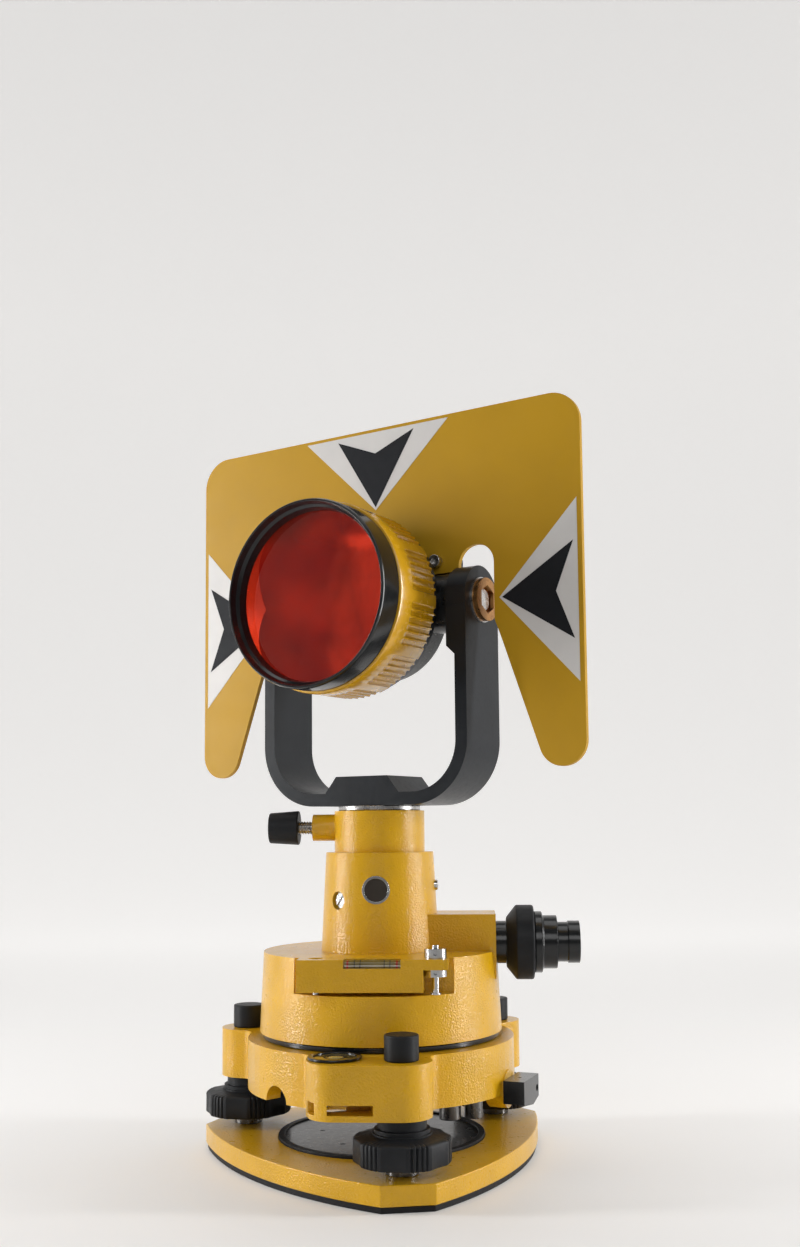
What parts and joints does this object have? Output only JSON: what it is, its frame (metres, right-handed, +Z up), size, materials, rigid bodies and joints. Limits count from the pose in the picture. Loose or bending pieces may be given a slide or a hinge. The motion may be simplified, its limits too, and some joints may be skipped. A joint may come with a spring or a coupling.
{
  "type": "survey prism",
  "caption": "Tilting survey prism with target plate on a yoke, a rotatable optical-plummet carrier and a levelling tribrach.",
  "frame": {"origin": "centre of the mouth of the tripod thread, in the plane of the foot", "axes": "+Z up along the instrument axis, -Y the way the prism faces at rest, X along the tilt axis"},
  "size_m": [0.1736, 0.1334, 0.2786],
  "materials": {
    "yellow_cast": "gloss textured paint on cast aluminium",
    "yellow_plate": "satin paint on aluminium sheet",
    "yellow_ring": "gloss paint on aluminium",
    "black_paint": "satin paint on aluminium",
    "black_cup": "satin paint on aluminium",
    "black_knob": "matte",
    "black_rubber": "matte",
    "black_disc": "satin paint on aluminium",
    "black_anodised": "anodised",
    "steel": "turned",
    "chrome": "polished",
    "bronze": "turned",
    "button": "satin anodised",
    "red_glass": "coated corner cube",
    "clear_glass": "clear",
    "vial_glass": "spirit filled",
    "white_paint": "satin",
    "mark_black": "satin"
  },
  "bodies": {
    "base": {"base_plate": "yellow_cast", "base_pad": "black_rubber", "disc_plate": "black_disc", "disc_ring": "black_rubber", "disc_screws": "black_disc", "thread_bush": "steel", "foot_clips": "steel"},
    "foot_front": {"foot_screw_front": "steel", "foot_knob_front": "black_knob"},
    "foot_left": {"foot_screw_left": "steel", "foot_knob_left": "black_knob"},
    "foot_right": {"foot_screw_right": "steel", "foot_knob_right": "black_knob"},
    "tribrach": {"tribrach_body": "yellow_cast", "foot_caps": "black_knob", "foot_bushes": "bronze", "lock_cover": "steel", "lock_posts": "steel", "bubble_case": "black_anodised", "bubble_vial": "vial_glass", "bubble_screws": "steel", "pin_flange": "black_anodised", "flange_pins": "steel"},
    "lock_ring": {"locking_plate": "steel"},
    "lock": {"lock_shaft": "steel", "lock_knob": "black_knob"},
    "carrier": {"carrier_body": "yellow_cast", "vial_housing": "yellow_cast", "vial_tube": "vial_glass", "vial_studs": "chrome", "capstan_nuts": "chrome", "plummet_tube": "black_anodised", "eyepiece_barrel": "black_anodised", "plummet_prism": "clear_glass", "objective_lens": "clear_glass", "button_ring": "chrome", "button_spring": "steel", "tower_screws": "chrome", "collar": "yellow_cast"},
    "focus": {"focus_ring": "black_knob"},
    "diopter": {"diopter_ring": "black_anodised", "eyepiece_lens": "clear_glass"},
    "button": {"release_button": "button"},
    "clamp_tip": {"clamp_pad": "bronze"},
    "clamp": {"clamp_screw": "steel", "clamp_knob": "black_knob"},
    "fork": {"spindle": "steel", "yoke": "black_paint", "pivot_bushes": "bronze", "pivot_washers": "steel"},
    "head": {"prism_holder": "black_cup", "trunnion_pins": "steel", "prism_canister": "yellow_ring", "front_bezel": "black_anodised", "prism_glass": "red_glass", "prism_pad": "black_rubber", "target_plate": "yellow_plate", "target_marks": "white_paint", "target_arrows": "mark_black", "plate_screws": "steel"}
  },
  "joints": [
    {"name": "foot_turn_front", "type": "hinge", "parent": "base", "child": "foot_front", "pos_m": [0.03632, -0.04328, 0.01], "axis": [0, 0, 1], "range_deg": [-1081, 1081]},
    {"name": "foot_turn_left", "type": "hinge", "parent": "base", "child": "foot_left", "pos_m": [-0.05564, -0.00981, 0.01], "axis": [0, 0, 1], "range_deg": [-1081, 1081]},
    {"name": "foot_turn_right", "type": "hinge", "parent": "base", "child": "foot_right", "pos_m": [0.01932, 0.05309, 0.01], "axis": [0, 0, 1], "range_deg": [-1081, 1081]},
    {"name": "level_lift", "type": "slide", "parent": "base", "child": "tribrach", "axis": [0, 0, 1], "range_m": [-0.003, 0.003]},
    {"name": "lock_turn", "type": "hinge", "parent": "tribrach", "child": "lock", "pos_m": [0, 0, 0.0287], "axis": [0.9848, 0.1736, 0], "range_deg": [0, 90]},
    {"name": "lock_ring_turn", "type": "hinge", "parent": "tribrach", "child": "lock_ring", "pos_m": [0, 0, 0.036], "axis": [0, 0, 1], "range_deg": [0, 12]},
    {"name": "carrier_turn", "type": "hinge", "parent": "tribrach", "child": "carrier", "pos_m": [0, 0, 0.05], "axis": [0, 0, 1], "continuous": true},
    {"name": "focus_turn", "type": "hinge", "parent": "carrier", "child": "focus", "pos_m": [0, 0, 0.0794], "axis": [0.8746, 0.4848, 0], "range_deg": [-150, 150]},
    {"name": "diopter_turn", "type": "hinge", "parent": "carrier", "child": "diopter", "pos_m": [0, 0, 0.0794], "axis": [0.8746, 0.4848, 0], "range_deg": [-120, 120]},
    {"name": "button_push", "type": "slide", "parent": "carrier", "child": "button", "axis": [0.4848, -0.8746, 0], "range_m": [-0.002, 0], "stiffness_N_per_m": 300},
    {"name": "clamp_push", "type": "slide", "parent": "carrier", "child": "clamp_tip", "axis": [-0.8746, -0.4848, 0], "range_m": [0, 0.003]},
    {"name": "clamp_turn", "type": "hinge", "parent": "clamp_tip", "child": "clamp", "pos_m": [0, 0, 0.1228], "axis": [-0.8746, -0.4848, 0], "range_deg": [0, 1081]},
    {"name": "fork_turn", "type": "hinge", "parent": "carrier", "child": "fork", "pos_m": [0, 0, 0.12], "axis": [0, 0, 1], "continuous": true},
    {"name": "head_tilt", "type": "hinge", "parent": "fork", "child": "head", "pos_m": [0, 0, 0.206], "axis": [1, 0, 0], "range_deg": [-75, 75]}
  ],
  "couplings": [
    {"joint": "foot_turn_front", "follows": "level_lift", "rad_per_m": -6283.2},
    {"joint": "foot_turn_left", "follows": "level_lift", "rad_per_m": -6283.2},
    {"joint": "foot_turn_right", "follows": "level_lift", "rad_per_m": -6283.2},
    {"joint": "lock_ring_turn", "follows": "lock_turn", "ratio": 0.13333},
    {"joint": "clamp_turn", "follows": "clamp_push", "rad_per_m": 6283.2}
  ]
}
